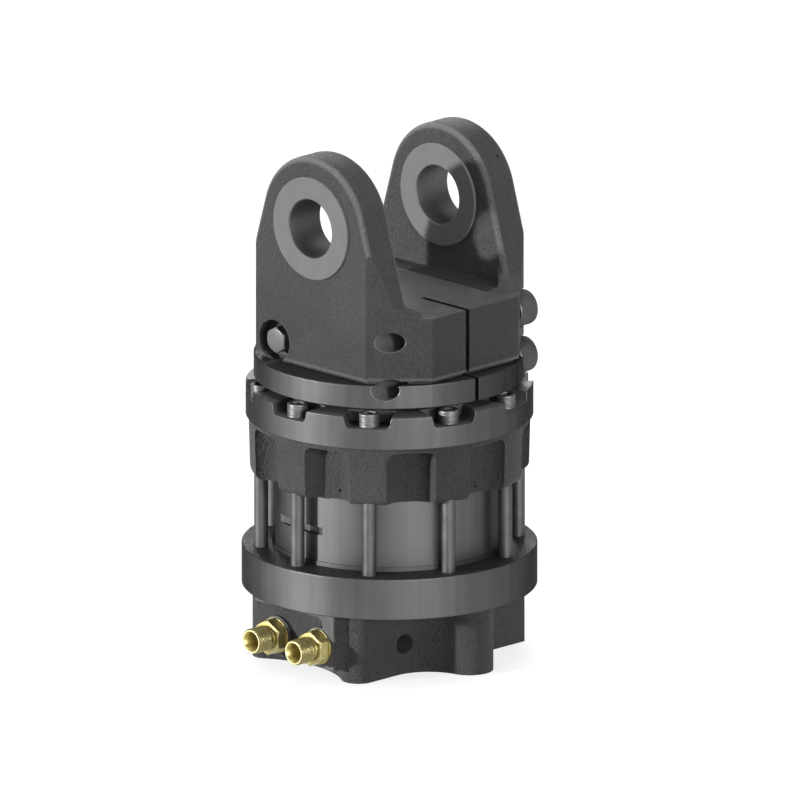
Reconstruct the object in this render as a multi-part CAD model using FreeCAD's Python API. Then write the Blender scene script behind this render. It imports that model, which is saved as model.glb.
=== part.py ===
# Hydraulic rotator: a vane motor housing with a cross-shaped foot, and a clamped clevis on its shaft.
# Millimetres. The origin is on the turning axis at the underside of the foot.
# +Z is the turning axis upwards, +X is the clevis pin axis, -Y is the side with the clamp slit.
import FreeCAD, Part
import math
import os

from FreeCAD import Vector

# Clearances
slide_gap = 0.05        # running fits, on the radius
seat_gap = 0.1          # loose seats, on the radius
face_gap = 0.1          # running faces, along the axis
pick_tol = 0.001        # an edge is where it is looked for, within this

# Foot casting
foot_height = 72.5
arm_x = 120.0           # reach of the plain arm along X
arm_y = 71.0            # half width of the X arms
lobe_x = 8.0            # centre of the front lobe, its twin is turned half a turn
lobe_y = -105.0
lobe_r = 24.0
lobe_fillet = 45.0      # hollow between a lobe and an arm
nose_x = -98.0          # round nose in front of the ports
nose_r = 17.0
heel_x = -98.0          # smaller round corner behind the ports
heel_y = 76.0
heel_r = 14.0
scallop_r = 100.0       # hollow between nose and heel, under the ports
rear_hollow_r = 35.0    # hollow between the heel and the rear lobe

# Machined flange of the foot
flange_r = 148.0
flange_height = 42.0
rim_chamfer = 0.8

# Port pad and ports
port_face_inset = 18.0  # port face inside the rim of the flange
port_recess = 4.0
port_spacing = 60.0
port_z = 36.0
port_boss_r = 19.5
pad_bottom = 14.0
pad_front = -52.0
pad_rear = 62.0
band_width = 17.0       # machined strip beside the recess
lip_height = 6.5        # machined strip above the recess
pad_round = 8.0
pad_blend_r = 10.0      # hollow where the pad's front side meets the foot
stud_r = 10.5           # thread of the fitting in the foot
stud_length = 14.0
gallery_r = 7.0
riser_x = -88.0         # riser from the port gallery to the cam ring
riser_r = 4.5
thread_gap = 0.05       # threads are plain, this far apart

# Ground bolts and test port
foot_bolt_x = 85.0
foot_bolt_y = 47.0
foot_bolt_r = 8.0
foot_bolt_depth = 28.0
test_port_x = -51.0
test_port_z = 31.0
test_port_r = 10.0
test_port_depth = 30.0

# Side plates and cam ring
plate_r = 117.5
plate_thick = 4.5
ring_r = 116.5
ring_height = 69.0
cam_lobes = 4
cam_minor_r = 88.0
vane_stroke = 9.5
lobe_half_deg = 27.0    # half of the full depth arc of a cam lobe
ramp_deg = 9.0
upper_plate_inset = 10.5
upper_plate_thick = 8.0
slot_deg = 173.0        # middle of the wrench slot, from +X
slot_half_length = 34.5
slot_depth = 5.0
slot_height = 8.0
slot_rise = 31.0        # slot centre above the foot of the ring

# Vane rotor
vane_count = 8
vane_thick = 8.0
vane_depth = 22.0
vane_slot_floor_r = 58.0
drum_bore_r = 50.0
leaf_width = 6.0
leaf_thick = 1.0
leaf_end_gap = 5.0

# Shaft
neck_r = 60.0
journal_r = 45.0
shoulder_r = 56.0
collar_r = 84.0
collar_height = 9.0
thread_r = 48.0
nut_r = 64.0
nut_height = 10.0
key_width = 16.0
key_height = 10.0
key_length = 56.0
journal_length = 46.0

# Bearings and seals
bush_wall = 7.0
lower_bush_length = 36.0
upper_bush_length = 36.0
race_thick = 3.0
race_inner_r = 62.0
race_outer_r = 82.0
roller_r = 3.0
roller_count = 24
cage_thick = 4.0
seal_wall = 14.0
seal_height = 12.0
wiper_height = 7.0
o_ring_inset = 4.2      # middle of a ring inside the rim of the upper side plate
o_ring_section_r = 1.45
groove_depth = 3.0
groove_half = 1.7
dowel_r = 3.0
dowel_inset = 5.0       # dowel centre inside the rim of the cam ring
dowel_grip = 12.0

# Upper cover
crown_bottom_r = 139.5
crown_top_r = 141.0
crown_height = 59.5
crown_round = 8.0
cover_ring_r = 144.0
cover_ring_height = 33.5
pocket_floor = 121.0    # distance of a pocket's flat floor from the axis
pocket_half_width = 25.0
pocket_arch = 4.5       # crown metal left above a pocket
pocket_round = 9.0
pocket_floor_round = 19.0
notch_half_width = 24.5
notch_depth = 12.0
notch_inner_r = 114.0
notch_round = 5.0
notch_slope = 3.0       # how much narrower a notch is at its floor, per side

# Tie screws
screw_count = 10
screw_pitch_r = 130.0
screw_r = 7.0
screw_hole_r = 7.5
screw_head_r = 10.5
screw_head_height = 14.0
screw_grip = 30.0
socket_af = 12.0

# Clevis
turn_gap = 7.0
disc_r = 136.0
disc_height = 24.0
block_height = 68.0
block_x = 110.0
block_rear = 80.0
left_shoulder = -76.0   # where the outer faces turn in towards the front
right_shoulder = -80.0
block_front = -122.0
block_front_x = 60.0
bore_top = 16.0         # metal over the shaft
undercut_height = 3.5   # groove between the block and the disc
undercut_depth = 5.0
block_corner = 1.5
ear_thick = 40.0
ear_r = 72.5
pin_rise = 80.0         # pin axis above the top of the block
ear_flare = 0.295       # run of the front flank per unit of height
ear_round = 8.0
ear_fillet = 21.0
root_rise = 2.0         # cast strip left at the foot of each ear's inner face
root_round = 2.5
root_end_round = 12.0
slit_x = -11.5
slit_width = 5.5

# Pin bushes
pin_r = 30.0
pin_bush_wall = 6.5
pin_flange_r = 52.5
pin_flange_thick = 5.5
pin_flange_proud = 2.5

# Clamp screws
clamp_y = -92.5
clamp_r = 12.0
clamp_head_r = 18.0
clamp_head_height = 24.0
clamp_seat_x = 76.5
clamp_end_x = -52.0
clamp_low_rise = 19.5   # above the underside of the disc
clamp_high_rise = 68.0
clamp_spot_gap = 1.6
clamp_socket_af = 19.0
clamp_tap_r = 10.5

# Lock bolt
lock_y = 53.0
lock_rise = 45.0
lock_r = 8.0
lock_hex_af = 24.0
lock_hex_height = 12.5
lock_pocket_r = 21.5
lock_pocket_depth = 14.0
lock_end_x = 52.0

# Port fittings
fit_tip = 36.0          # from the port face to the open end
fit_thread_r = 13.0
fit_mouth_r = 10.35
fit_bore_r = 7.5
fit_cone_depth = 7.0
fit_groove_start = 19.7
fit_groove_width = 2.3
fit_groove_r = 11.0
fit_hex_af = 32.0
fit_hex_width = 12.0
washer_r = 18.0
fit_edge = 1.0

# Levels worked out from the sizes above
flange_top = foot_height + flange_height
ring_bottom = flange_top + plate_thick
ring_top = ring_bottom + ring_height
crown_top = ring_top + crown_height
cover_top = crown_top + cover_ring_height
notch_floor = cover_top - notch_depth
disc_bottom = cover_top + turn_gap
disc_top = disc_bottom + disc_height
block_top = disc_top + block_height
pin_z = block_top + pin_rise
port_face_x = port_face_inset - flange_r
upper_plate_r = ring_r - upper_plate_inset
o_ring_r = upper_plate_r - o_ring_inset
dowel_pitch_r = ring_r - dowel_inset
ear_x = block_x - ear_thick
cam_major_r = cam_minor_r + vane_stroke + 2 * seat_gap
washer_thick = fit_tip - fit_groove_start - fit_groove_width - fit_hex_width

X = Vector(1, 0, 0)
Y = Vector(0, 1, 0)
Z = Vector(0, 0, 1)
ORIGIN = Vector(0, 0, 0)


def rod(r, z0, z1, x=0.0, y=0.0):
    return Part.makeCylinder(r, z1 - z0, Vector(x, y, z0), Z)


def rod_x(r, x0, x1, y, z):
    return Part.makeCylinder(r, x1 - x0, Vector(x0, y, z), X)


def tube(r_out, r_in, z0, z1):
    return rod(r_out, z0, z1).cut(rod(r_in, z0, z1))


def block(x0, x1, y0, y1, z0, z1):
    return Part.makeBox(x1 - x0, y1 - y0, z1 - z0, Vector(x0, y0, z0))


def prism(points, z0, z1):
    """Upright prism over a closed polygon of (x, y) points."""
    corners = [Vector(x, y, z0) for x, y in points]
    return Part.Face(Part.makePolygon(corners + corners[:1])).extrude(Z * (z1 - z0))


def hexagon(across_flats, start, direction, length):
    """Hexagonal bar from a start point along a direction."""
    r = across_flats / math.sqrt(3)
    corners = [Vector(r * math.cos(math.radians(60 * i)), r * math.sin(math.radians(60 * i)), 0)
               for i in range(6)]
    bar = Part.Face(Part.makePolygon(corners + corners[:1])).extrude(Z * length)
    bar.Placement = FreeCAD.Placement(start, FreeCAD.Rotation(Z, direction))
    return bar


def lathe(profile, start=ORIGIN, direction=Z):
    """Solid turned from (radius, height) points, placed from a start point along a direction."""
    corners = [Vector(r, 0, h) for r, h in profile]
    solid = Part.Face(Part.makePolygon(corners + corners[:1])).revolve(ORIGIN, Z, 360)
    solid.Placement = FreeCAD.Placement(start, FreeCAD.Rotation(Z, direction))
    return solid


def turned(shape, degrees):
    copy = shape.copy()
    copy.rotate(ORIGIN, Z, degrees)
    return copy


def around(shape, count, first_deg=0.0):
    """Copies of a shape spaced evenly about the turning axis."""
    return [turned(shape, first_deg + 360.0 * i / count) for i in range(count)]


def join(shapes):
    return shapes[0].fuse(shapes[1:]).removeSplitter() if len(shapes) > 1 else shapes[0]


def picked_edges(shape, test):
    return [edge for edge in shape.Edges if test(edge)]


def flat_at(edge, z):
    box = edge.BoundBox
    return abs(box.ZMin - z) < 1e-4 and abs(box.ZMax - z) < 1e-4


def arc_mid(centre, r, start_deg, end_deg):
    mid = math.radians((start_deg + end_deg) / 2)
    return Vector(centre[0] + r * math.cos(mid), centre[1] + r * math.sin(mid), 0)


def touch(centre_a, r_a, centre_b, r_b):
    """Point where two circles that touch from outside meet."""
    share = r_a / (r_a + r_b)
    return (centre_a[0] + (centre_b[0] - centre_a[0]) * share,
            centre_a[1] + (centre_b[1] - centre_a[1]) * share)


def angle_of(centre, point):
    return math.degrees(math.atan2(point[1] - centre[1], point[0] - centre[0]))


def arc(centre, r, start, end, direction):
    """Arc from start to end about a centre, direction +1 turns to the left."""
    a = angle_of(centre, start)
    b = angle_of(centre, end)
    while direction * (b - a) <= 0:
        b += 360.0 * direction
    return Part.Arc(Vector(*start, 0), arc_mid(centre, r, a, b), Vector(*end, 0)).toShape()


def line(start, end):
    return Part.LineSegment(Vector(*start, 0), Vector(*end, 0)).toShape()


def lobe_side():
    """Plan edges from (arm_x, -arm_y) past the front lobe to the straight edge beyond it."""
    lobe = (lobe_x, lobe_y)
    hollow_y = -arm_y - lobe_fillet
    spread = math.sqrt((lobe_r + lobe_fillet) ** 2 - (hollow_y - lobe_y) ** 2)
    right = (lobe_x + spread, hollow_y)
    left = (lobe_x - spread, hollow_y)
    right_touch = touch(lobe, lobe_r, right, lobe_fillet)
    left_touch = touch(lobe, lobe_r, left, lobe_fillet)
    return [
        line((arm_x, -arm_y), (right[0], -arm_y)),
        arc(right, lobe_fillet, (right[0], -arm_y), right_touch, 1),
        arc(lobe, lobe_r, right_touch, left_touch, -1),
        arc(left, lobe_fillet, left_touch, (left[0], -arm_y), 1),
    ], (left[0], -arm_y)


def hollow_centre(centre_a, r_a, centre_b, r_b, r):
    """Centre of a circle that touches two others from outside, to the left of the way from a to b."""
    dx = centre_b[0] - centre_a[0]
    dy = centre_b[1] - centre_a[1]
    apart = math.hypot(dx, dy)
    along = ((r_a + r) ** 2 - (r_b + r) ** 2 + apart ** 2) / (2 * apart)
    aside = math.sqrt((r_a + r) ** 2 - along ** 2)
    return (centre_a[0] + (dx * along - dy * aside) / apart,
            centre_a[1] + (dy * along + dx * aside) / apart)


def foot_plan():
    """Closed plan outline of the foot at the ground."""
    front, front_end = lobe_side()
    rear = [edge.copy() for edge in front]
    for edge in rear:
        edge.rotate(ORIGIN, Z, 180)
    nose = (nose_x, -arm_y + nose_r)
    heel = (heel_x, heel_y)
    lobe = (-lobe_x, -lobe_y)
    scallop = hollow_centre(nose, nose_r, heel, heel_r, scallop_r)
    hollow = hollow_centre(heel, heel_r, lobe, lobe_r, rear_hollow_r)
    nose_touch = touch(nose, nose_r, scallop, scallop_r)
    heel_start = touch(heel, heel_r, scallop, scallop_r)
    heel_end = touch(heel, heel_r, hollow, rear_hollow_r)
    lobe_start = touch(lobe, lobe_r, hollow, rear_hollow_r)
    rear_arc = rear[3]
    lobe_end = max(((v.X, v.Y) for v in rear_arc.Vertexes), key=lambda p: p[1])
    edges = front + [
        line(front_end, (nose[0], -arm_y)),
        arc(nose, nose_r, (nose[0], -arm_y), nose_touch, -1),
        arc(scallop, scallop_r, nose_touch, heel_start, 1),
        arc(heel, heel_r, heel_start, heel_end, -1),
        arc(hollow, rear_hollow_r, heel_end, lobe_start, 1),
        arc(lobe, lobe_r, lobe_start, lobe_end, -1),
        rear_arc,
        line((-front_end[0], arm_y), (arm_x, arm_y)),
        line((arm_x, arm_y), (arm_x, -arm_y)),
    ]
    return Part.Wire(Part.__sortEdges__(edges))


def foot_pad():
    """Pad for the ports: a recessed cast face inside a machined strip, with two round bosses."""
    inner_x = port_face_x + port_recess
    pad = block(inner_x, nose_x, pad_front, pad_rear, pad_bottom, foot_height)
    pad = pad.makeFillet(pad_round, picked_edges(
        pad, lambda e: e.BoundBox.YMin > pad_rear - 1 and e.BoundBox.XMax < inner_x + 1
        and e.BoundBox.ZLength > 1))
    frame = block(port_face_x, inner_x + 1, pad_front, pad_rear, pad_bottom, foot_height)
    recess = block(port_face_x - 1, inner_x, pad_front + band_width, pad_rear + 1,
                   pad_bottom - 1, foot_height - lip_height)
    recess = recess.makeFillet(pad_round, picked_edges(
        recess, lambda e: e.BoundBox.XLength > 1 and e.BoundBox.ZMin > foot_height - lip_height - 1
        and e.BoundBox.YMax < pad_front + band_width + 1))
    frame = frame.cut(recess)
    bosses = [rod_x(port_boss_r, port_face_x, inner_x + 1, y, port_z) for y in port_rows()]
    return join([pad, frame.common(rounded_pad_limit())] + bosses)


def rounded_pad_limit():
    """The pad's box with its outer upright edges rounded."""
    box = block(port_face_x, nose_x, pad_front, pad_rear, pad_bottom, foot_height)
    return box.makeFillet(port_recess - 1, picked_edges(
        box, lambda e: e.BoundBox.XMax < port_face_x + 1 and e.BoundBox.ZLength > 1))


def port_rows():
    return (-port_spacing / 2, port_spacing / 2)


def riser_places():
    return [(riser_x, y) for y in port_rows()]


def dowel_places():
    angle = math.radians(45)
    x = dowel_pitch_r * math.cos(angle)
    y = dowel_pitch_r * math.sin(angle)
    return [(x, -y), (-x, y)]


def screw_places():
    return [(screw_pitch_r * math.cos(math.radians(360.0 * i / screw_count)),
             screw_pitch_r * math.sin(math.radians(360.0 * i / screw_count)))
            for i in range(screw_count)]


def chamfer_rim(shape, r, levels):
    edges = picked_edges(shape, lambda e: any(flat_at(e, z) for z in levels)
                         and abs(e.BoundBox.XLength - 2 * r) < pick_tol)
    return shape.makeChamfer(rim_chamfer, edges)


def o_groove(z0, z1):
    return tube(o_ring_r + groove_half, o_ring_r - groove_half, z0, z1)


def pad_blend(body):
    """Round the hollow where the pad's front side leaves the nose, as far as that side is long."""
    corner_x = nose_x - math.sqrt(nose_r ** 2 - (pad_front + arm_y - nose_r) ** 2)
    side = corner_x - port_face_x - port_recess
    if side <= 0:
        return body     # the nose covers the pad's side, so there is no hollow
    return body.makeFillet(min(pad_blend_r, side), picked_edges(
        body, lambda e: abs(e.BoundBox.XMin - corner_x) < pick_tol and e.BoundBox.ZLength > 1
        and abs(e.BoundBox.YMax - pad_front) < pick_tol))


def foot_casting():
    body = join([Part.Face(foot_plan()).extrude(Z * foot_height), foot_pad()])
    flange = chamfer_rim(rod(flange_r, foot_height, flange_top), flange_r, (foot_height, flange_top))
    body = join([pad_blend(body), flange])
    cuts = [rod(nut_r + seat_gap + 2, nut_cavity_bottom, flange_top + 1),
            rod(lower_bush_r, lower_bush_bottom, flange_top),
            rod(journal_r + 2, shaft_bottom - 4, flange_top),
            o_groove(flange_top - groove_depth, flange_top + 1)]
    for y in port_rows():
        cuts.append(rod_x(stud_r, port_face_x - 1, port_face_x + stud_length + 2, y, port_z))
        cuts.append(rod_x(gallery_r, port_face_x, riser_x + riser_r, y, port_z))
        cuts.append(rod(riser_r, port_z, flange_top + 1, riser_x, y))
    for x, y in dowel_places():
        cuts.append(rod(dowel_r, flange_top - dowel_grip, flange_top + 1, x, y))
    for x, y in screw_places():
        cuts.append(rod(screw_r + thread_gap, flange_top - screw_grip - 3, flange_top + 1, x, y))
    for x in (-foot_bolt_x, foot_bolt_x):
        for y in (-foot_bolt_y, foot_bolt_y):
            cuts.append(rod(foot_bolt_r, -1, foot_bolt_depth, x, y))
    mouth = Vector(test_port_x, -arm_y - lobe_fillet, test_port_z)
    cuts.append(Part.makeCylinder(test_port_r, lobe_fillet + test_port_depth, mouth, Y))
    return body.cut(cuts)


def lower_side_plate():
    plate = tube(plate_r, nut_r + seat_gap + 1, flange_top, ring_bottom)
    cuts = [rod(riser_r, flange_top - 1, ring_bottom + 1, x, y) for x, y in riser_places()]
    cuts += [rod(dowel_r, flange_top - 1, ring_bottom + 1, x, y) for x, y in dowel_places()]
    return plate.cut(cuts)


def polar(r, degrees):
    return (r * math.cos(math.radians(degrees)), r * math.sin(math.radians(degrees)))


def cam_hole():
    """Bore of the cam ring: full depth lobes joined to narrow lands by straight ramps."""
    pitch = 360.0 / cam_lobes
    edges = []
    for i in range(cam_lobes):
        middle = i * pitch
        outer_start = polar(cam_major_r, middle - lobe_half_deg)
        outer_end = polar(cam_major_r, middle + lobe_half_deg)
        land_start = polar(cam_minor_r, middle + lobe_half_deg + ramp_deg)
        land_end = polar(cam_minor_r, middle + pitch - lobe_half_deg - ramp_deg)
        next_start = polar(cam_major_r, middle + pitch - lobe_half_deg)
        edges += [arc((0, 0), cam_major_r, outer_start, outer_end, 1),
                  line(outer_end, land_start),
                  arc((0, 0), cam_minor_r, land_start, land_end, 1),
                  line(land_end, next_start)]
    hole = Part.Face(Part.Wire(Part.__sortEdges__(edges))).extrude(Z * (ring_height + 2))
    hole.translate(Z * (ring_bottom - 1))
    return hole


def cam_ring():
    ring = rod(ring_r, ring_bottom, ring_top).cut(cam_hole())
    slot = block(ring_r - slot_depth, ring_r + 1, -slot_half_length, slot_half_length,
                 ring_bottom + slot_rise - slot_height / 2, ring_bottom + slot_rise + slot_height / 2)
    cuts = [turned(slot, slot_deg), turned(slot, slot_deg + 180),
            o_groove(ring_bottom - 1, ring_bottom + groove_depth),
            o_groove(ring_top - groove_depth, ring_top + 1)]
    cuts += [rod(dowel_r, ring_bottom - 1, ring_top + 1, x, y) for x, y in dowel_places()]
    return ring.cut(cuts)


def upper_side_plate():
    return tube(upper_plate_r, shoulder_r + 1, ring_top, ring_top + upper_plate_thick)


def cover_pocket():
    """Cutter for one hollow of the crown, with rounded inner corners and top."""
    box = block(pocket_floor, crown_top_r + 20, -pocket_half_width, pocket_half_width,
                ring_top - 20, crown_top - pocket_arch)
    inner = picked_edges(box, lambda e: e.BoundBox.XMax < pocket_floor + 1 and e.BoundBox.ZLength > 1)
    box = box.makeFillet(pocket_floor_round, inner)
    top = picked_edges(box, lambda e: flat_at(e, crown_top - pocket_arch)
                       and e.BoundBox.XMin < crown_top_r + 19)
    return box.makeFillet(pocket_round, top)


def cover_notch():
    """Cutter for one screw notch, open to the top and the outside."""
    low = notch_half_width - notch_slope
    over = notch_slope / notch_depth
    corners = [Vector(notch_inner_r, -low, notch_floor), Vector(notch_inner_r, low, notch_floor),
               Vector(notch_inner_r, notch_half_width + over, cover_top + 1),
               Vector(notch_inner_r, -notch_half_width - over, cover_top + 1)]
    face = Part.Face(Part.makePolygon(corners + corners[:1]))
    notch = face.extrude(X * (cover_ring_r - notch_inner_r + 1))
    floor = picked_edges(notch, lambda e: flat_at(e, notch_floor) and e.BoundBox.XLength > 1)
    return notch.makeFillet(notch_round, floor)


def upper_cover():
    crown = Part.makeCone(crown_bottom_r, crown_top_r, crown_height, Vector(0, 0, ring_top), Z)
    crown = crown.makeFillet(crown_round, picked_edges(crown, lambda e: flat_at(e, ring_top)))
    crown = crown.cut(around(cover_pocket(), screw_count, 180.0 / screw_count))
    ring = chamfer_rim(rod(cover_ring_r, crown_top, cover_top), cover_ring_r, (crown_top, cover_top))
    ring = ring.cut(around(cover_notch(), screw_count))
    cover = join([crown, ring])
    cuts = [rod(upper_plate_r + seat_gap, ring_top - 1, ring_top + upper_plate_thick),
            rod(collar_r + 6, ring_top, race_top),
            rod(upper_bush_r, ring_top, cover_top),
            rod(seal_r, seal_bottom, cover_top + 1)]
    cuts += [rod(dowel_r, ring_top - 1, ring_top + dowel_grip, x, y) for x, y in dowel_places()]
    cuts += [rod(screw_hole_r, ring_top - 1, notch_floor + 1, x, y) for x, y in screw_places()]
    return cover.cut(cuts)


def socket_screw(head_r, head_height, shank_r, length, socket, start, direction):
    """Socket head screw: start is the centre of the seat under its head, direction is its tip's."""
    back = direction * -1
    head = Part.makeCylinder(head_r, head_height, start, back)
    rim = start + back * head_height
    edges = picked_edges(head, lambda e: isinstance(e.Curve, Part.Circle)
                         and (e.Curve.Center - rim).Length < pick_tol)
    head = head.makeChamfer(head_r / 12, edges)
    shank = Part.makeCylinder(shank_r, length, start, direction)
    hex_cut = hexagon(socket, rim + direction * (head_height * 0.55), back, head_height)
    return head.fuse(shank).cut(hex_cut)


def tie_screws():
    length = notch_floor - flange_top + screw_grip
    return [socket_screw(screw_head_r, screw_head_height, screw_r, length, socket_af,
                         Vector(x, y, notch_floor), Z * -1) for x, y in screw_places()]


def dowel_pins():
    return [rod(dowel_r, flange_top - dowel_grip, ring_top + dowel_grip, x, y) for x, y in dowel_places()]


def face_o_rings():
    levels = (flange_top - groove_depth / 2, ring_bottom + groove_depth / 2, ring_top - groove_depth / 2)
    return [Part.makeTorus(o_ring_r, o_ring_section_r, Vector(0, 0, z), Z) for z in levels]


def lower_bush():
    return tube(lower_bush_r, journal_r + slide_gap, lower_bush_bottom, nut_cavity_bottom)


def upper_bush():
    return tube(upper_bush_r, neck_r + slide_gap, upper_bush_bottom, upper_bush_bottom + upper_bush_length)


def thrust_race_upper():
    return tube(race_outer_r, race_inner_r, race_top - race_thick, race_top)


def thrust_race_lower():
    return tube(race_outer_r, race_inner_r, collar_top, collar_top + race_thick)


def roller_cutter(r, over):
    middle = collar_top + race_thick + roller_r + slide_gap / 2
    return rod_x(r, race_inner_r + 2 - over, race_outer_r - 2 + over, 0, middle)


def thrust_rollers():
    return around(roller_cutter(roller_r, 0), roller_count)


def thrust_cage():
    middle = collar_top + race_thick + roller_r + slide_gap / 2
    cage = tube(race_outer_r, race_inner_r, middle - cage_thick / 2, middle + cage_thick / 2)
    window = block(race_inner_r + 2 - seat_gap, race_outer_r - 2 + seat_gap, -roller_r - seat_gap,
                   roller_r + seat_gap, middle - cage_thick, middle + cage_thick)
    return cage.cut(around(window, roller_count))


def shaft_seal():
    lip = [(neck_r + slide_gap, seal_bottom + 2), (neck_r + slide_gap, seal_bottom + 4),
           (neck_r + 4, seal_bottom + seal_height - 3), (seal_r - 4, seal_bottom + seal_height - 3),
           (seal_r - 4, seal_bottom + seal_height), (seal_r, seal_bottom + seal_height),
           (seal_r, seal_bottom), (neck_r + 3, seal_bottom)]
    return lathe(lip)


def wiper_ring():
    bottom = seal_bottom + seal_height
    top = bottom + wiper_height
    return lathe([(neck_r + slide_gap, top), (neck_r + slide_gap, top - 1.5), (neck_r + 5, bottom + 2),
                  (neck_r + 5, bottom), (seal_r, bottom), (seal_r, top - 2), (neck_r + 5, top - 2)])


def port_fitting(y):
    """Male stud fitting: hexagon, groove, plain collar, thread and a cone mouth at the open end."""
    hex_start = washer_thick
    hex_end = hex_start + fit_hex_width
    corner_r = fit_hex_af / math.sqrt(3)
    start = Vector(port_face_x, y, port_z)
    out = X * -1
    turned_body = lathe([
        (fit_bore_r, -stud_length), (stud_r - thread_gap, -stud_length), (stud_r - thread_gap, hex_start),
        (fit_groove_r, hex_start), (fit_groove_r, fit_tip - fit_groove_start),
        (fit_thread_r, fit_tip - fit_groove_start), (fit_thread_r, fit_tip - fit_edge),
        (fit_thread_r - fit_edge, fit_tip), (fit_mouth_r, fit_tip),
        (fit_bore_r, fit_tip - fit_cone_depth)], start, out)
    nut = hexagon(fit_hex_af, start + out * hex_start, out, fit_hex_width)
    cap = lathe([(0, hex_start), (corner_r, hex_start), (corner_r, hex_end - 2 * fit_edge),
                 (fit_hex_af / 2, hex_end), (0, hex_end)], start, out)
    bore = lathe([(0, -stud_length - 1), (fit_bore_r, -stud_length - 1),
                  (fit_bore_r, fit_tip - fit_cone_depth), (fit_mouth_r, fit_tip),
                  (fit_mouth_r, fit_tip + 1), (0, fit_tip + 1)], start, out)
    return turned_body.fuse(nut.common(cap)).cut(bore)


def port_washers():
    out = X * -1
    return [lathe([(stud_r + seat_gap, 0), (washer_r - 0.5, 0), (washer_r, 0.5), (washer_r, washer_thick),
                   (stud_r + seat_gap, washer_thick)], Vector(port_face_x, y, port_z), out)
            for y in port_rows()]


def shaft():
    body = lathe([
        (0, shaft_bottom), (journal_r - 1, shaft_bottom), (journal_r, shaft_bottom + 1),
        (journal_r, nut_bottom), (thread_r, nut_bottom), (thread_r, drum_bottom),
        (drum_bore_r, drum_bottom), (drum_bore_r, drum_top), (shoulder_r, drum_top),
        (shoulder_r, collar_bottom), (collar_r, collar_bottom), (collar_r, collar_top),
        (neck_r, collar_top), (neck_r, shaft_top - 2), (neck_r - 2, shaft_top), (0, shaft_top)])
    groove = rod_x(lock_r + 2 * seat_gap, -neck_r, neck_r, lock_y, lock_z)
    return body.cut([groove] + drive_keys())


def drive_keys():
    middle = (drum_bottom + drum_top) / 2
    key = block(drum_bore_r - key_height / 2, drum_bore_r + key_height / 2, -key_width / 2, key_width / 2,
                middle - key_length / 2, middle + key_length / 2)
    return [key, turned(key, 180)]


def vane_angles():
    return [(i + 0.5) * 360.0 / vane_count for i in range(vane_count)]


def rotor_drum():
    drum = tube(drum_r, drum_bore_r, drum_bottom, drum_top)
    slot = block(vane_slot_floor_r, drum_r + 5, -vane_thick / 2 - slide_gap, vane_thick / 2 + slide_gap,
                 drum_bottom - 1, drum_top + 1)
    keyways = block(0, drum_bore_r + key_height / 2, -key_width / 2, key_width / 2,
                    drum_bottom - 1, drum_top + 1)
    cuts = [turned(slot, angle) for angle in vane_angles()] + [keyways, turned(keyways, 180)]
    return drum.cut(cuts)


def vane(angle):
    body = block(vane_inner_r, vane_inner_r + vane_depth, -vane_thick / 2, vane_thick / 2,
                 drum_bottom, drum_top)
    tip = picked_edges(body, lambda e: e.BoundBox.ZLength > 1 and e.BoundBox.XMin > vane_inner_r + 1)
    return turned(body.makeFillet(vane_thick / 4, tip), angle)


def vane_springs():
    """One bowed leaf under each vane, its ends on the slot floor and its middle at the vane."""
    half = (drum_top - drum_bottom) / 2 - leaf_end_gap
    middle = (drum_bottom + drum_top) / 2
    low = vane_slot_floor_r
    high = vane_inner_r - seat_gap - leaf_thick

    def bow(rise):
        return Part.Arc(Vector(low + rise, -leaf_width / 2, middle - half),
                        Vector(high + rise, -leaf_width / 2, middle),
                        Vector(low + rise, -leaf_width / 2, middle + half)).toShape()

    def end(z):
        return Part.LineSegment(Vector(low, -leaf_width / 2, z),
                                Vector(low + leaf_thick, -leaf_width / 2, z)).toShape()

    sides = [bow(0), end(middle + half), bow(leaf_thick), end(middle - half)]
    outline = Part.Wire(Part.__sortEdges__(sides))
    leaf = Part.Face(outline).extrude(Y * leaf_width)
    return [turned(leaf, angle) for angle in vane_angles()]


def lock_nut():
    nut = tube(nut_r, thread_r, nut_bottom, drum_bottom)
    notch = block(nut_r - 6, nut_r + 1, -5, 5, nut_bottom - 1, drum_bottom + 1)
    return nut.cut(around(notch, 4, 45))


def clevis_plan():
    return [(-block_x, block_rear), (-block_x, left_shoulder), (-block_front_x, block_front),
            (block_front_x, block_front), (block_x, right_shoulder), (block_x, block_rear)]


def clevis_envelope():
    """Upright prism over the clevis plan, as tall as the ears."""
    body = prism(clevis_plan(), disc_top + undercut_height, pin_z + ear_r + 1)
    return body.makeFillet(block_corner, picked_edges(body, lambda e: e.BoundBox.ZLength > 1))


def clevis_neck():
    """Short neck between block and disc, set in all round."""
    overlap = 1.0
    low = disc_top - overlap
    slab = prism(clevis_plan(), low, disc_top)
    floor = [face for face in slab.Faces if abs(face.BoundBox.ZMax - low) < 1e-6][0]
    return floor.makeOffset2D(-undercut_depth).extrude(Z * (undercut_height + 2 * overlap))


def ear_flank():
    """Top point (y, z) of an ear's straight flank, where it leaves the round head."""
    flare = math.atan(ear_flare)
    return ear_r * math.cos(flare), pin_z + ear_r * math.sin(flare)


def root_relief():
    """Cutter between the ears that trims the root fillets down to a low strip."""
    top_y, top_z = ear_flank()
    y = top_y + (top_z - block_top) * ear_flare - ear_round
    low = block_top + root_rise
    box = block(-ear_x, ear_x, -y, y, low, block_top + ear_fillet + 1)
    box = box.makeFillet(root_end_round, picked_edges(box, lambda e: e.BoundBox.ZLength > 1))
    return box.makeFillet(root_round, picked_edges(box, lambda e: flat_at(e, low)))


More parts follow.
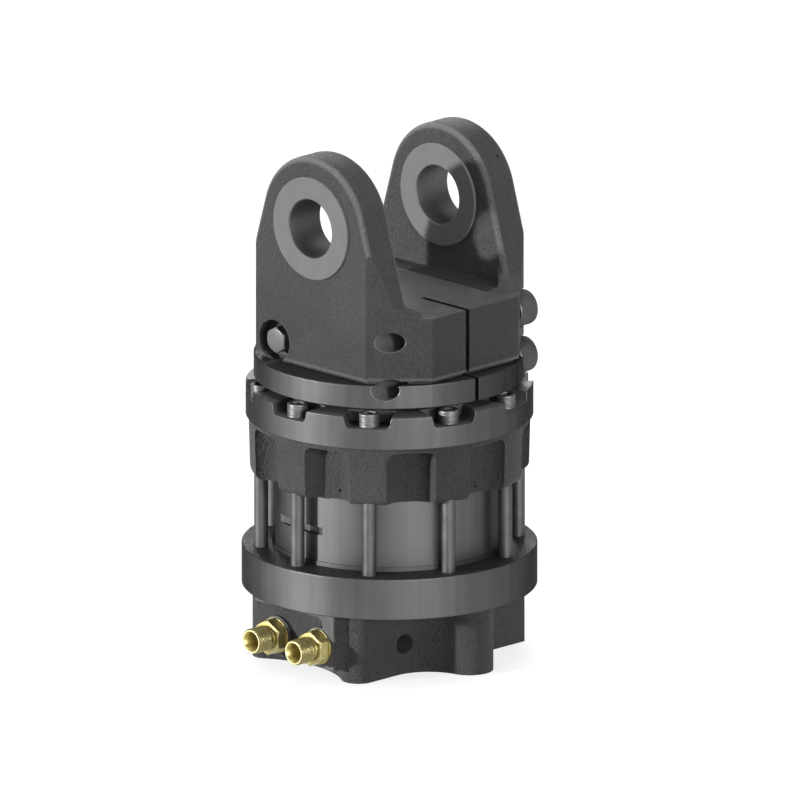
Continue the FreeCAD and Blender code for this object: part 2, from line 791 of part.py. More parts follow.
def ear(side):
    """One ear: a round head with flanks that flare down, rounded along both faces."""
    top_y, top_z = ear_flank()
    root_y = top_y + (top_z - disc_top) * ear_flare
    x0 = ear_x if side > 0 else -block_x

    def at(y, z):
        return Vector(x0, y, z)

    edges = [Part.Arc(at(-top_y, top_z), at(0, pin_z + ear_r), at(top_y, top_z)).toShape(),
             Part.LineSegment(at(top_y, top_z), at(root_y, disc_top)).toShape(),
             Part.LineSegment(at(root_y, disc_top), at(-root_y, disc_top)).toShape(),
             Part.LineSegment(at(-root_y, disc_top), at(-top_y, top_z)).toShape()]
    solid = Part.Face(Part.Wire(Part.__sortEdges__(edges))).extrude(X * ear_thick)
    rim = picked_edges(solid, lambda e: e.BoundBox.XLength < pick_tol and e.BoundBox.ZMax > disc_top + 1)
    return solid.makeFillet(ear_round, rim)


def clevis_casting():
    """Ears rooted in an oversize block, trimmed to the clevis plan and set on the disc."""
    disc = chamfer_rim(rod(disc_r, disc_bottom, disc_top), disc_r, (disc_bottom, disc_top))
    over = 3 * ear_fillet
    base = block(-block_x - over, block_x + over, block_front - over, block_rear + over,
                 disc_top - 1, block_top)
    body = join([base, ear(-1), ear(1)])
    roots = picked_edges(body, lambda e: flat_at(e, block_top) and e.BoundBox.XMin > -block_x - 1
                         and e.BoundBox.XMax < block_x + 1)
    body = body.makeFillet(ear_fillet, roots).cut(root_relief()).common(clevis_envelope())
    return join([disc, clevis_neck(), body]).cut(clevis_cuts())


def clevis_cuts():
    cuts = [rod(neck_r, disc_bottom - 1, shaft_top + 2),
            block(slit_x - slit_width / 2, slit_x + slit_width / 2, -disc_r - 1, -neck_r + 3,
                  disc_bottom - 1, block_top + 1)]
    for z in clamp_levels():
        cuts.append(rod_x(clamp_r + thread_gap, clamp_end_x - 2, slit_x, clamp_y, z))
        cuts.append(rod_x(clamp_tap_r, -disc_r, clamp_end_x, clamp_y, z))
        cuts.append(rod_x(clamp_r + 0.5, slit_x, clamp_seat_x + 1, clamp_y, z))
        cuts.append(rod_x(clamp_head_r + clamp_spot_gap, clamp_seat_x, disc_r, clamp_y, z))
    cuts.append(rod_x(lock_pocket_r, -disc_r, -block_x + lock_pocket_depth, lock_y, lock_z))
    cuts.append(rod_x(lock_r + seat_gap, -block_x, lock_end_x + 2, lock_y, lock_z))
    depth = pin_flange_thick - pin_flange_proud
    cuts.append(rod_x(pin_r + pin_bush_wall, -block_x - 1, block_x + 1, 0, pin_z))
    for face in (-block_x - 1, ear_x - 1, -ear_x - depth, block_x - depth):
        cuts.append(rod_x(pin_flange_r + seat_gap, face, face + depth + 1, 0, pin_z))
    return cuts


def clamp_levels():
    return (disc_bottom + clamp_low_rise, disc_bottom + clamp_high_rise)


def clamp_screws():
    return [socket_screw(clamp_head_r, clamp_head_height, clamp_r, clamp_seat_x - clamp_end_x,
                         clamp_socket_af, Vector(clamp_seat_x, clamp_y, z), X * -1)
            for z in clamp_levels()]


def lock_bolt():
    seat = -block_x + lock_pocket_depth
    start = Vector(seat, lock_y, lock_z)
    head = hexagon(lock_hex_af, start, X * -1, lock_hex_height)
    corner_r = lock_hex_af / math.sqrt(3)
    cap = lathe([(0, 0), (corner_r, 0), (corner_r, lock_hex_height - 1.2),
                 (lock_hex_af / 2 - 0.6, lock_hex_height), (0, lock_hex_height)], start, X * -1)
    return head.common(cap).fuse(rod_x(lock_r, seat, lock_end_x, lock_y, lock_z))


def pin_bush(side, outer):
    """Flanged bush pressed half way through an ear, from its outer or its inner face."""
    face = block_x if outer else ear_x
    out = X * side * (1 if outer else -1)
    start = Vector(side * face, 0, pin_z)
    low = -ear_thick / 2 + seat_gap
    under = pin_flange_proud - pin_flange_thick
    sleeve_r = pin_r + pin_bush_wall
    return lathe([(pin_r, low), (sleeve_r, low), (sleeve_r, under), (pin_flange_r, under),
                  (pin_flange_r, pin_flange_proud - 0.6), (pin_flange_r - 0.6, pin_flange_proud),
                  (pin_r + 1, pin_flange_proud), (pin_r, pin_flange_proud - 1)], start, out)


# Levels and radii that depend on more than one piece
drum_r = cam_minor_r - 2 * slide_gap
drum_bottom = ring_bottom + face_gap
drum_top = ring_top - face_gap
vane_inner_r = drum_r - 0.4 - vane_depth
nut_bottom = drum_bottom - nut_height
nut_cavity_bottom = nut_bottom - 3.0
lower_bush_r = journal_r + slide_gap + bush_wall
lower_bush_bottom = nut_cavity_bottom - lower_bush_length
shaft_bottom = nut_bottom - journal_length
collar_bottom = ring_top + upper_plate_thick + 2 * face_gap
collar_top = collar_bottom + collar_height
race_top = collar_top + 2 * race_thick + 2 * roller_r + slide_gap
upper_bush_r = neck_r + slide_gap + bush_wall
upper_bush_bottom = race_top + 4.0
seal_r = neck_r + seal_wall
seal_bottom = cover_top - wiper_height - seal_height - 2.0
shaft_top = block_top - bore_top - 2.0
lock_z = disc_bottom + lock_rise


def all_parts():
    parts = {
        "foot_casting": foot_casting(),
        "lower_side_plate": lower_side_plate(),
        "cam_ring": cam_ring(),
        "upper_side_plate": upper_side_plate(),
        "upper_cover": upper_cover(),
        "tie_screws": tie_screws(),
        "dowel_pins": dowel_pins(),
        "face_o_rings": face_o_rings(),
        "lower_bush": lower_bush(),
        "upper_bush": upper_bush(),
        "thrust_race_upper": thrust_race_upper(),
        "thrust_race_lower": thrust_race_lower(),
        "thrust_rollers": thrust_rollers(),
        "thrust_cage": thrust_cage(),
        "shaft_seal": shaft_seal(),
        "wiper_ring": wiper_ring(),
        "port_fitting_front": port_fitting(port_rows()[0]),
        "port_fitting_rear": port_fitting(port_rows()[1]),
        "port_washers": port_washers(),
        "shaft": shaft(),
        "drive_keys": drive_keys(),
        "rotor_drum": rotor_drum(),
        "vane_springs": vane_springs(),
        "lock_nut": lock_nut(),
        "clevis_casting": clevis_casting(),
        "clamp_screws": clamp_screws(),
        "lock_bolt": lock_bolt(),
        "pin_bush_left_outer": pin_bush(-1, True),
        "pin_bush_left_inner": pin_bush(-1, False),
        "pin_bush_right_inner": pin_bush(1, False),
        "pin_bush_right_outer": pin_bush(1, True),
    }
    for i, angle in enumerate(vane_angles()):
        parts[f"vane_{i + 1}"] = vane(angle)
    return parts


def write_part(name, shape):
    group = Part.makeCompound(shape) if isinstance(shape, list) else shape
    group.exportStep(os.path.join("parts", name + ".step"))


os.makedirs("parts", exist_ok=True)
for part_name, part_shape in all_parts().items():
    write_part(part_name, part_shape)
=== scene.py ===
import math

import bmesh
import bpy
import numpy as np
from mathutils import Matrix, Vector


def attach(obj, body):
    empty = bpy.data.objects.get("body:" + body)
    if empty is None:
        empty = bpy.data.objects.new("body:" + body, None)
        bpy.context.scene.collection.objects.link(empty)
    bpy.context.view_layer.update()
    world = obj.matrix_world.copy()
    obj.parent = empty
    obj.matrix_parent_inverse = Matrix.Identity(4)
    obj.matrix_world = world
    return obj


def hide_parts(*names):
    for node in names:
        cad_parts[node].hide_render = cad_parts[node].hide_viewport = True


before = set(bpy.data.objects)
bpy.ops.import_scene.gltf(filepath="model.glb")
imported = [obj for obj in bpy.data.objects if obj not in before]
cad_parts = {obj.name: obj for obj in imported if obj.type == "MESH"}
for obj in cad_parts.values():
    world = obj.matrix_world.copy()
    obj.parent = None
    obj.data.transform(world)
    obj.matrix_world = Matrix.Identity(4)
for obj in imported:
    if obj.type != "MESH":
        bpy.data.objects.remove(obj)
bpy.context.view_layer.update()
scene = bpy.context.scene
mm = 0.001
print("stage 1: frame loaded with", len(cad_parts), "nodes")


# Small helpers that put nodes into a material or a node group

def plug(tree, socket, value):
    if isinstance(value, bpy.types.NodeSocket):
        tree.links.new(value, socket)
    else:
        socket.default_value = value


def addNode(tree, kind, inputs=None, **settings):
    node = tree.nodes.new(kind)
    for key, value in settings.items():
        setattr(node, key, value)
    for key, value in (inputs or {}).items():
        plug(tree, node.inputs[key], value)
    return node


def calc(tree, operation, a, b=0.0, c=0.0):
    return addNode(tree, "ShaderNodeMath", {0: a, 1: b, 2: c}, operation=operation).outputs[0]


def rise(tree, value, low, high):
    # 0 below low, 1 above high, straight between.
    node = addNode(tree, "ShaderNodeMapRange", {"Value": value, "From Min": low, "From Max": high})
    return node.outputs["Result"]


def mixColour(tree, factor, a, b):
    return addNode(tree, "ShaderNodeMix", {0: factor, 6: a, 7: b}, data_type="RGBA").outputs[2]


def mixValue(tree, factor, a, b):
    return addNode(tree, "ShaderNodeMix", {0: factor, 2: a, 3: b}, data_type="FLOAT").outputs[0]


def fold(tree, operation, values):
    total = values[0]
    for value in values[1:]:
        total = calc(tree, operation, total, value)
    return total


def times(tree, *values):
    # Of masks: where all of them are.
    return fold(tree, "MULTIPLY", values)


def most(tree, *values):
    # Of masks: where any of them is.
    return fold(tree, "MAXIMUM", values)


def inverse(tree, value):
    return calc(tree, "SUBTRACT", 1.0, value)


def weigh(tree, a, shareA, b, shareB):
    return calc(tree, "MULTIPLY_ADD", a, shareA, times(tree, b, shareB))


def distance(tree, a, b):
    return calc(tree, "SQRT", calc(tree, "ADD", times(tree, a, a), times(tree, b, b)))


def noise(tree, place, scale, detail, roughness=0.5):
    return addNode(tree, "ShaderNodeTexNoise", {
        "Vector": place, "Scale": scale, "Detail": detail, "Roughness": roughness}).outputs["Fac"]


def split(tree, vector):
    node = addNode(tree, "ShaderNodeSeparateXYZ", {0: vector})
    return node.outputs["X"], node.outputs["Y"], node.outputs["Z"]


def shade(level, warm=0.0):
    return (level * (1 + warm), level, level * (1 - warm), 1.0)


def newGroup(name, inputs, outputs):
    # An empty node group with named sockets: the group, what comes in, and the node for what goes out.
    group = bpy.data.node_groups.new(name, "ShaderNodeTree")
    for label, kind in inputs.items():
        group.interface.new_socket(label, in_out="INPUT", socket_type="NodeSocket" + kind)
    for label, kind in outputs.items():
        group.interface.new_socket(label, in_out="OUTPUT", socket_type="NodeSocket" + kind)
    return group, group.nodes.new("NodeGroupInput").outputs, group.nodes.new("NodeGroupOutput")


def giveOut(group, end, **values):
    for label, value in values.items():
        plug(group, end.inputs[label], value)
    return group


def useGroup(tree, group, **values):
    # Every input of the group is given, as the groups have no values of their own.
    node = tree.nodes.new("ShaderNodeGroup")
    node.node_tree = group
    for key, value in values.items():
        plug(tree, node.inputs[key], value)
    return node.outputs


# Shared finishes. Each group reads a position in metres and gives colour, roughness and height. A span is
# where a value starts and where it stops to count. Roughness goes from the smooth places to the matt ones.

finishOutputs = {"Colour": "Color", "Roughness": "Float", "Height": "Float"}
cloudSpan = (0.3, 0.7)

castGrain = {"detail": 4.0, "crisp": 0.6, "swells": 120.0, "swellDetail": 2.0, "swellHeight": 0.4,
             "patches": 14.0, "grainShare": 0.55, "patchShare": 0.45, "toneSpan": (0.34, 0.66),
             "pits": 62.0, "pitChance": (0.94, 0.96), "pitSize": (0.05, 0.11), "pitTone": 0.012,
             "pitDepth": 1.6, "roughness": (0.56, 0.7)}


def buildCastSkin():
    # Sand casting under black oil: orange-peel grain, broad patches and a few small pits.
    look = castGrain
    group, start, end = newGroup("castSkin", {
        "Position": "Vector", "Dark": "Color", "Light": "Color", "Grain": "Float"}, finishOutputs)
    grain = noise(group, start["Position"], start["Grain"], look["detail"], look["crisp"])
    swell = noise(group, start["Position"], look["swells"], look["swellDetail"])
    patch = noise(group, start["Position"], look["patches"], look["detail"])
    cell = addNode(group, "ShaderNodeTexVoronoi", {"Vector": start["Position"], "Scale": look["pits"]})
    chosen = addNode(group, "ShaderNodeSeparateColor", {"Color": cell.outputs["Color"]})
    rare = rise(group, chosen.outputs["Red"], *look["pitChance"])
    pit = times(group, rare, inverse(group, rise(group, cell.outputs["Distance"], *look["pitSize"])))
    tone = weigh(group, grain, look["grainShare"], patch, look["patchShare"])
    tone = rise(group, tone, *look["toneSpan"])
    colour = mixColour(group, tone, start["Dark"], start["Light"])
    # The pits are painted near black, as painted shade in their hollows.
    colour = mixColour(group, pit, colour, shade(look["pitTone"]))
    rough = mixValue(group, rise(group, patch, *cloudSpan), *look["roughness"])
    height = calc(group, "MULTIPLY_ADD", swell, look["swellHeight"], grain)
    height = calc(group, "SUBTRACT", height, times(group, pit, look["pitDepth"]))
    return giveOut(group, end, Colour=colour, Roughness=rough, Height=height)


turnedGrain = {"lineDetail": 2.0, "streakDetail": 3.0, "crisp": 0.65, "upward": 3.0, "smears": 26.0,
               "smearDetail": 4.0, "lineShare": 0.35, "streakShare": 0.65, "toneSpan": (0.33, 0.67),
               "roughness": (0.42, 0.5)}


def buildTurnedFace():
    # Lathe finish about the Z axis: fine lines along the cut, faint streaks across it.
    look = turnedGrain
    group, start, end = newGroup("turnedFace", {
        "Position": "Vector", "Dark": "Color", "Light": "Color", "RimLines": "Float",
        "Streaks": "Float"}, finishOutputs)
    x, y, z = split(group, start["Position"])
    across = addNode(group, "ShaderNodeCombineXYZ", {"Z": times(group, z, start["RimLines"])})
    lines = noise(group, across.outputs[0], 1.0, look["lineDetail"])
    along = addNode(group, "ShaderNodeCombineXYZ", {
        "X": times(group, x, start["Streaks"]), "Y": times(group, y, start["Streaks"]),
        "Z": times(group, z, look["upward"])})
    streak = noise(group, along.outputs[0], 1.0, look["streakDetail"], look["crisp"])
    smear = noise(group, start["Position"], look["smears"], look["smearDetail"])
    tone = weigh(group, lines, look["lineShare"], streak, look["streakShare"])
    colour = mixColour(group, rise(group, tone, *look["toneSpan"]), start["Dark"], start["Light"])
    rough = mixValue(group, rise(group, smear, *cloudSpan), *look["roughness"])
    return giveOut(group, end, Colour=colour, Roughness=rough, Height=lines)


steelGrain = {"specks": 900.0, "speckDetail": 2.0, "clouds": 60.0, "cloudDetail": 5.0, "crisp": 0.6,
              "hairTurn": (0.5, 0.9, 0.3), "hairs": (900.0, 35.0, 900.0), "hairDetail": 1.0,
              "hairSpan": (0.68, 0.74), "cloudShare": 0.7, "speckShare": 0.3,
              "toneSpan": (0.34, 0.66), "hairTone": 0.8, "speckHeight": 0.6, "hairDepth": 0.5}


def buildSmoothSteel():
    # Ground, oxidised or plated steel: fine speckle, cloudy stain and hair scratches.
    look = steelGrain
    group, start, end = newGroup("smoothSteel", {
        "Position": "Vector", "Dark": "Color", "Light": "Color", "Smooth": "Float",
        "Matt": "Float"}, finishOutputs)
    speck = noise(group, start["Position"], look["specks"], look["speckDetail"])
    cloud = noise(group, start["Position"], look["clouds"], look["cloudDetail"], look["crisp"])
    turn = addNode(group, "ShaderNodeMapping", {
        "Vector": start["Position"], "Rotation": look["hairTurn"], "Scale": look["hairs"]})
    hair = rise(group, noise(group, turn.outputs[0], 1.0, look["hairDetail"]), *look["hairSpan"])
    tone = weigh(group, cloud, look["cloudShare"], speck, look["speckShare"])
    tone = most(group, rise(group, tone, *look["toneSpan"]), times(group, hair, look["hairTone"]))
    colour = mixColour(group, tone, start["Dark"], start["Light"])
    rough = mixValue(group, rise(group, cloud, *cloudSpan), start["Smooth"], start["Matt"])
    height = calc(group, "SUBTRACT", times(group, speck, look["speckHeight"]),
                  times(group, hair, look["hairDepth"]))
    return giveOut(group, end, Colour=colour, Roughness=rough, Height=height)


edgeShape = {"samples": 4, "bend": (0.02, 0.16)}


def buildEdgeTouch():
    # Where a surface bends sharply: a mask for rubbed edges, and a normal that rounds them off.
    group, start, end = newGroup("edgeTouch", {"Radius": "Float"}, {"Rubbed": "Float", "Normal": "Vector"})
    bevel = addNode(group, "ShaderNodeBevel", {"Radius": start["Radius"]}, samples=edgeShape["samples"])
    facing = addNode(group, "ShaderNodeNewGeometry")
    same = addNode(group, "ShaderNodeVectorMath", {
        0: bevel.outputs["Normal"], 1: facing.outputs["Normal"]}, operation="DOT_PRODUCT")
    rubbed = rise(group, inverse(group, same.outputs["Value"]), *edgeShape["bend"])
    return giveOut(group, end, Rubbed=rubbed, Normal=bevel.outputs["Normal"])


castSkin = buildCastSkin()
turnedFace = buildTurnedFace()
smoothSteel = buildSmoothSteel()
edgeTouch = buildEdgeTouch()
print("stage 2: shared finishes built")


# What a user may change on the detailed pieces, in mm. A tip is where a screw starts, a shank runs from
# there to under the head.

clampLook = {"headRadius": 18.0, "headHeight": 24.0, "radius": 12.0, "shank": 128.5, "socket": 19.0,
             "socketDepth": 12.0, "knurl": 0.3, "knurls": 72, "rings": 0.0, "rows": 5, "count": 288,
             "tip": -52.0, "y": -92.5, "levels": (307.5, 356.0)}

tieLook = {"headRadius": 10.5, "headHeight": 14.0, "radius": 7.0, "shank": 184.5, "socket": 12.0,
           "socketDepth": 7.4, "knurl": 0.16, "knurls": 44, "rings": 0.4, "ringPitch": 1.7, "rows": 36,
           "count": 132, "pitchRadius": 130.0, "tip": 84.5, "screws": 10, "socketStep": 23.0}

lockLook = {"flats": 24.0, "height": 12.5, "radius": 8.0, "seat": -96.0, "end": 52.0, "y": 53.0,
            "z": 333.0, "face": 11.2, "hexTurn": 30.0, "count": 144, "tipChamfer": 1.2, "washer": 0.5,
            "inset": 0.6, "rim": 0.15, "rimInset": 0.5,
            "lowerArc": {"start": 0.3, "end": 2.2, "slope": 3.5, "rows": 6},
            "upperArc": {"start": 1.9, "end": 0.4, "slope": 1.75, "rows": 9}}

fittingLook = {"flats": 32.0, "hexStart": 2.0, "hexEnd": 14.0, "face": 15.8, "groove": 11.0,
               "collarStart": 16.3, "threadStart": 21.0, "radius": 13.0, "pitch": 2.0,
               "threadDepth": 1.1, "turnRows": 8, "crest": 0.1, "runout": 0.5, "threadStop": 1.0,
               "tip": 36.0, "tipInset": 1.1, "rimInset": 1.3, "rim": 0.15, "mouth": 10.35,
               "bore": 7.5, "cone": 7.0, "stud": 10.45, "studLength": 14.0, "portFace": -130.0,
               "z": 36.0, "spacing": 60.0, "hexTurn": 30.0, "count": 120, "edge": 0.3,
               "seatInset": 0.4, "faceInset": 0.1,
               "lowerArc": {"start": 0.05, "end": 1.4, "slope": 2.4, "rows": 6},
               "upperArc": {"start": 2.2, "end": 0.05, "slope": 1.75, "rows": 12}}

# Where the bends of a socket head lie, in shares of its height or radius, and in mm from its edges.
headShape = {"under": 0.05, "knurlLow": 0.08, "knurlHigh": 0.12, "rimLow": 0.09, "rimHigh": 0.03,
             "face": 0.09, "mouth": 1.16, "drill": 0.9, "tipMm": 1.0, "underMm": 0.6, "neckMm": 0.5,
             "rimLowMm": 0.05, "rimHighMm": 0.35, "mouthMm": 0.4, "flatsMm": 0.9, "drillMm": 1.5}


# Materials, one for each finish, with what a user may change in a dictionary beside it

markFade, markThin = 0.05, 0.1  # mm on either side of a limit, and of a plane


class Paint:
    # A new material with its position sockets at hand. Limits are in mm.

    def __init__(self, name):
        self.material = bpy.data.materials.new(name)
        self.material.use_nodes = True
        self.tree = self.material.node_tree
        self.tree.nodes.clear()
        where = addNode(self.tree, "ShaderNodeTexCoord")
        self.place, self.facing = where.outputs["Object"], where.outputs["Normal"]
        self.x, self.y, self.z = split(self.tree, self.place)
        self.radius = distance(self.tree, self.x, self.y)

    def ramp(self, value, low, high):
        return rise(self.tree, value, low * mm, high * mm)

    def over(self, value, limit):
        return self.ramp(value, limit - markFade, limit + markFade)

    def under(self, value, limit):
        return inverse(self.tree, self.over(value, limit))

    def between(self, value, low, high):
        return times(self.tree, self.over(value, low), self.under(value, high))

    def level(self, value, limit):
        return self.between(value, limit - markThin, limit + markThin)

    def away(self, first, firstAt, second, secondAt):
        # How far a place lies from a line that runs along the third axis.
        return distance(self.tree, calc(self.tree, "SUBTRACT", first, firstAt * mm),
                        calc(self.tree, "SUBTRACT", second, secondAt * mm))

    def finish(self, colour, roughness, height, metallic, bump, normal=None, specular=0.5, rimTint=0.25):
        # A low rimTint keeps oiled metal from flaring at its rims.
        soft = {} if normal is None else {"Normal": normal}
        relief = addNode(self.tree, "ShaderNodeBump", dict(
            soft, Height=height, Distance=bump * mm, Strength=1.0))
        shader = addNode(self.tree, "ShaderNodeBsdfPrincipled", {
            "Base Color": colour, "Roughness": roughness, "Metallic": metallic,
            "Normal": relief.outputs[0], "Specular IOR Level": specular,
            "Specular Tint": shade(rimTint)})
        addNode(self.tree, "ShaderNodeOutputMaterial", {"Surface": shader.outputs[0]})
        return self.material


# Castings: the 0.02 tone is the near black of painted shade, and the rubbed tone serves rubbed edges and
# painted highlights alike.
castLook = {"dark": 0.046, "light": 0.086, "grain": 390.0, "bump": 3.3, "specular": 0.4, "edge": 1.1,
            "paintedShade": 0.02, "rubbed": 0.16, "rubbedShare": 0.75, "polishAndPaintedLightShare": 0.8,
            "polishedRoughness": 0.45, "calm": 0.85}
rimLook = {"dark": 0.068, "light": 0.09, "warm": 0.01, "lines": 2600.0, "streaks": 95.0,
           "metallic": 1.0, "relief": 0.02}
millLook = {"dark": 0.085, "light": 0.115, "smooth": 0.42, "matt": 0.55, "metallic": 0.3,
            "relief": 0.05}


def casting(name, zones):
    # Cast skin, with turned or milled places where zones(paint) says, and rubbed edges. Zones(paint) also
    # marks painted shade, and lighter places that are painted light and highlights as well as real polish.
    paint = Paint(name)
    tree = paint.tree
    skin = useGroup(tree, castSkin, Position=paint.place, Dark=shade(castLook["dark"]),
                    Light=shade(castLook["light"]), Grain=castLook["grain"])
    turned = useGroup(tree, turnedFace, Position=paint.place, Dark=shade(rimLook["dark"]),
                      Light=shade(rimLook["light"], rimLook["warm"]), RimLines=rimLook["lines"],
                      Streaks=rimLook["streaks"])
    milled = useGroup(tree, smoothSteel, Position=paint.place, Dark=shade(millLook["dark"]),
                      Light=shade(millLook["light"]), Smooth=millLook["smooth"], Matt=millLook["matt"])
    touch = useGroup(tree, edgeTouch, Radius=castLook["edge"] * mm)
    where = {"turned": 0.0, "milled": 0.0, "dark": 0.0, "smooth": 0.0, "polishAndPaintedLight": 0.0}
    where.update(zones(paint))
    wearAndHighlightTone = shade(castLook["rubbed"])
    colour = mixColour(tree, where["turned"], skin["Colour"], turned["Colour"])
    colour = mixColour(tree, where["milled"], colour, milled["Colour"])
    # Painted shade: the places marked dark go near black.
    colour = mixColour(tree, where["dark"], colour, shade(castLook["paintedShade"]))
    # Painted light and highlights, and the polish of the bored holes, lighten towards the rubbed tone.
    colour = mixColour(tree, times(tree, where["polishAndPaintedLight"], castLook["polishAndPaintedLightShare"]), colour, wearAndHighlightTone)
    colour = mixColour(tree, times(tree, touch["Rubbed"], castLook["rubbedShare"]), colour, wearAndHighlightTone)
    rough = mixValue(tree, where["turned"], skin["Roughness"], turned["Roughness"])
    rough = mixValue(tree, where["milled"], rough, milled["Roughness"])
    rough = mixValue(tree, where["polishAndPaintedLight"], rough, castLook["polishedRoughness"])
    calm = inverse(tree, times(tree, where["smooth"], castLook["calm"]))
    height = times(tree, skin["Height"], calm)
    height = mixValue(tree, where["turned"], height, times(tree, turned["Height"], rimLook["relief"]))
    height = mixValue(tree, where["milled"], height, times(tree, milled["Height"], millLook["relief"]))
    metal = most(tree, times(tree, where["turned"], rimLook["metallic"]),
                 times(tree, where["milled"], millLook["metallic"]))
    return paint.finish(colour, rough, height, metal, castLook["bump"], touch["Normal"],
                        castLook["specular"])


footMarks = {"rimRadius": 147.1, "rimLow": 72.3, "padX": -129.6, "padTop": 72.4, "underside": 0.2,
             "top": 114.3, "portX": -51.0, "portY": -30.0, "portZ": 31.0, "portRadius": 10.3,
             "portShare": 0.6}


def footZones(p):
    t, marks = p.tree, footMarks
    rim = times(t, p.over(p.radius, marks["rimRadius"]), p.over(p.z, marks["rimLow"]))
    pad = times(t, p.under(p.x, marks["padX"]), p.under(p.z, marks["padTop"]))
    away = p.away(p.x, marks["portX"], p.z, marks["portZ"])  # from the axis of the test port
    # The bore of the test port is painted lighter towards the rubbed tone, as painted light.
    port = times(t, p.under(away, marks["portRadius"]), p.under(p.y, marks["portY"]))
    # The top of the flange is painted near black, as painted shade under the cover.
    return {"turned": rim, "milled": most(t, pad, port, p.under(p.z, marks["underside"])),
            "polishAndPaintedLight": times(t, port, marks["portShare"]), "dark": p.over(p.z, marks["top"])}


coverMarks = {"rimRadius": 143.1, "rimLow": 247.4, "notchLow": 247.6}


def coverZones(p):
    t, marks = p.tree, coverMarks
    rim = times(t, p.over(p.radius, marks["rimRadius"]), p.over(p.z, marks["rimLow"]))
    notch = times(t, p.under(p.radius, marks["rimRadius"]), p.over(p.z, marks["notchLow"]))
    return {"turned": rim, "milled": notch}


# A shoulder is its outward direction in the plane, and a place on its flat.
clevisMarks = {"discRadius": 135.1, "discTop": 312.0, "blockTop": 380.0, "frontY": -121.6,
               "frontShare": 0.35, "slitX": (-14.4, -8.6), "slitY": -58.0, "boredRadius": 11.0,
               "boredX": -50.0, "sideways": (0.2, 0.55), "tooSideways": (0.85, 0.98),
               "earFeet": (384.0, 396.0), "shoulders": ((-0.677, -0.736, -110.0, -76.0),
                                                        (0.643, -0.766, 110.0, -80.0)),
               "shoulderFade": (-0.7, -0.3), "backY": (-110.0, 20.0), "backShare": 0.6,
               "rootZ": (380.05, 383.4), "rootX": 69.5, "rootY": -88.0, "rootShare": 0.6,
               "lipLow": 315.4, "lipHigh": (317.0, 319.5), "lipShare": 0.8}


def clevisZones(p):
    t, marks = p.tree, clevisMarks
    rim = times(t, p.over(p.radius, marks["discRadius"]), p.under(p.z, marks["discTop"] + markThin))
    discTop, top = p.level(p.z, marks["discTop"]), p.level(p.z, marks["blockTop"])
    front = times(t, p.under(p.y, marks["frontY"]), p.under(p.z, marks["blockTop"] + 2 * markThin))
    slit = times(t, p.between(p.x, *marks["slitX"]), p.under(p.y, marks["slitY"]))
    bored = 0.0
    for z in clampLook["levels"]:  # the tapped holes of the clamp screws
        away = p.away(p.y, clampLook["y"], p.z, z)
        hole = times(t, p.under(away, marks["boredRadius"]), p.under(p.x, marks["boredX"]))
        bored = most(t, bored, hole)
    # Painted highlight along the rounded edges of the ears, from how far their surface turns sideways.
    tilt = calc(t, "ABSOLUTE", split(t, p.facing)[0])
    bend = times(t, rise(t, tilt, *marks["sideways"]), inverse(t, rise(t, tilt, *marks["tooSideways"])))
    edge = times(t, bend, p.ramp(p.z, *marks["earFeet"]))
    for nx, ny, x, y in marks["shoulders"]:
        # The two flat shoulders turn to the side as the rounded edges do, but get no painted highlight.
        outward = calc(t, "MULTIPLY_ADD", p.x, nx,
                       calc(t, "MULTIPLY_ADD", p.y, ny, -(nx * x + ny * y) * mm))
        edge = times(t, edge, inverse(t, p.ramp(outward, *marks["shoulderFade"])))
    # Painted highlight in a thin band along the lower edge of the block above the disc.
    lip = times(t, inverse(t, p.ramp(p.z, *marks["lipHigh"])), p.over(p.z, marks["lipLow"]))
    edge = most(t, edge, times(t, lip, marks["lipShare"]))
    # The back of the top face is painted lighter, as painted light.
    back = times(t, top, p.ramp(p.y, *marks["backY"]), marks["backShare"])
    root = times(t, p.between(p.z, *marks["rootZ"]), p.over(p.y, marks["rootY"]),
                 p.under(calc(t, "ABSOLUTE", p.x), marks["rootX"]))  # painted shade in the crease at the ear roots
    # Painted shade: the slit, the disc's top face, the ear roots and partly the front face are painted dark.
    return {"turned": rim, "milled": most(t, top, bored), "smooth": front,
            "polishAndPaintedLight": most(t, edge, bored, back),
            "dark": most(t, slit, discTop, times(t, front, marks["frontShare"]),
                         times(t, root, marks["rootShare"]))}


footIron = casting("footIron", footZones)
coverIron = casting("coverIron", coverZones)
clevisIron = casting("clevisIron", clevisZones)

# Inside the bushes of the pin, whose axis lies along X.
boreLook = {"z": 460.0, "wall": (30.2, 30.5), "tone": 0.15, "metallic": 0.9}

steelLooks = {
    "groundSteel": {"dark": 0.16, "light": 0.24, "smooth": 0.28, "matt": 0.4, "metallic": 0.8},
    "screwSteel": {"dark": 0.085, "light": 0.115, "smooth": 0.4, "matt": 0.5, "metallic": 0.7,
                   "wear": 0.24},
    # A lighter copy of the screw steel, painted light on the tie screw heads.
    "headSteelPaintedLight": {"dark": 0.135, "light": 0.185, "smooth": 0.4, "matt": 0.5, "metallic": 0.7,
                  "wear": 0.34},
    "zincPlate": {"dark": 0.125, "light": 0.155, "smooth": 0.4, "matt": 0.5, "metallic": 0.2,
                  "wear": 0.3, "specular": 0.25},
    "bushSteel": {"dark": 0.155, "light": 0.175, "smooth": 0.5, "matt": 0.56, "metallic": 0.0,
                  "warm": 0.012, "wear": 0.26, "specular": 0.12, "bored": True},
    "bronze": {"dark": 0.24, "light": 0.34, "smooth": 0.32, "matt": 0.45, "metallic": 0.8,
               "warm": 0.35},
}
wearDefault = 1.9  # times the light tone, where a look names no wear
wearShare = 0.55
steelEdge = 0.5  # mm
steelBump, turnedBump = 0.02, 0.03


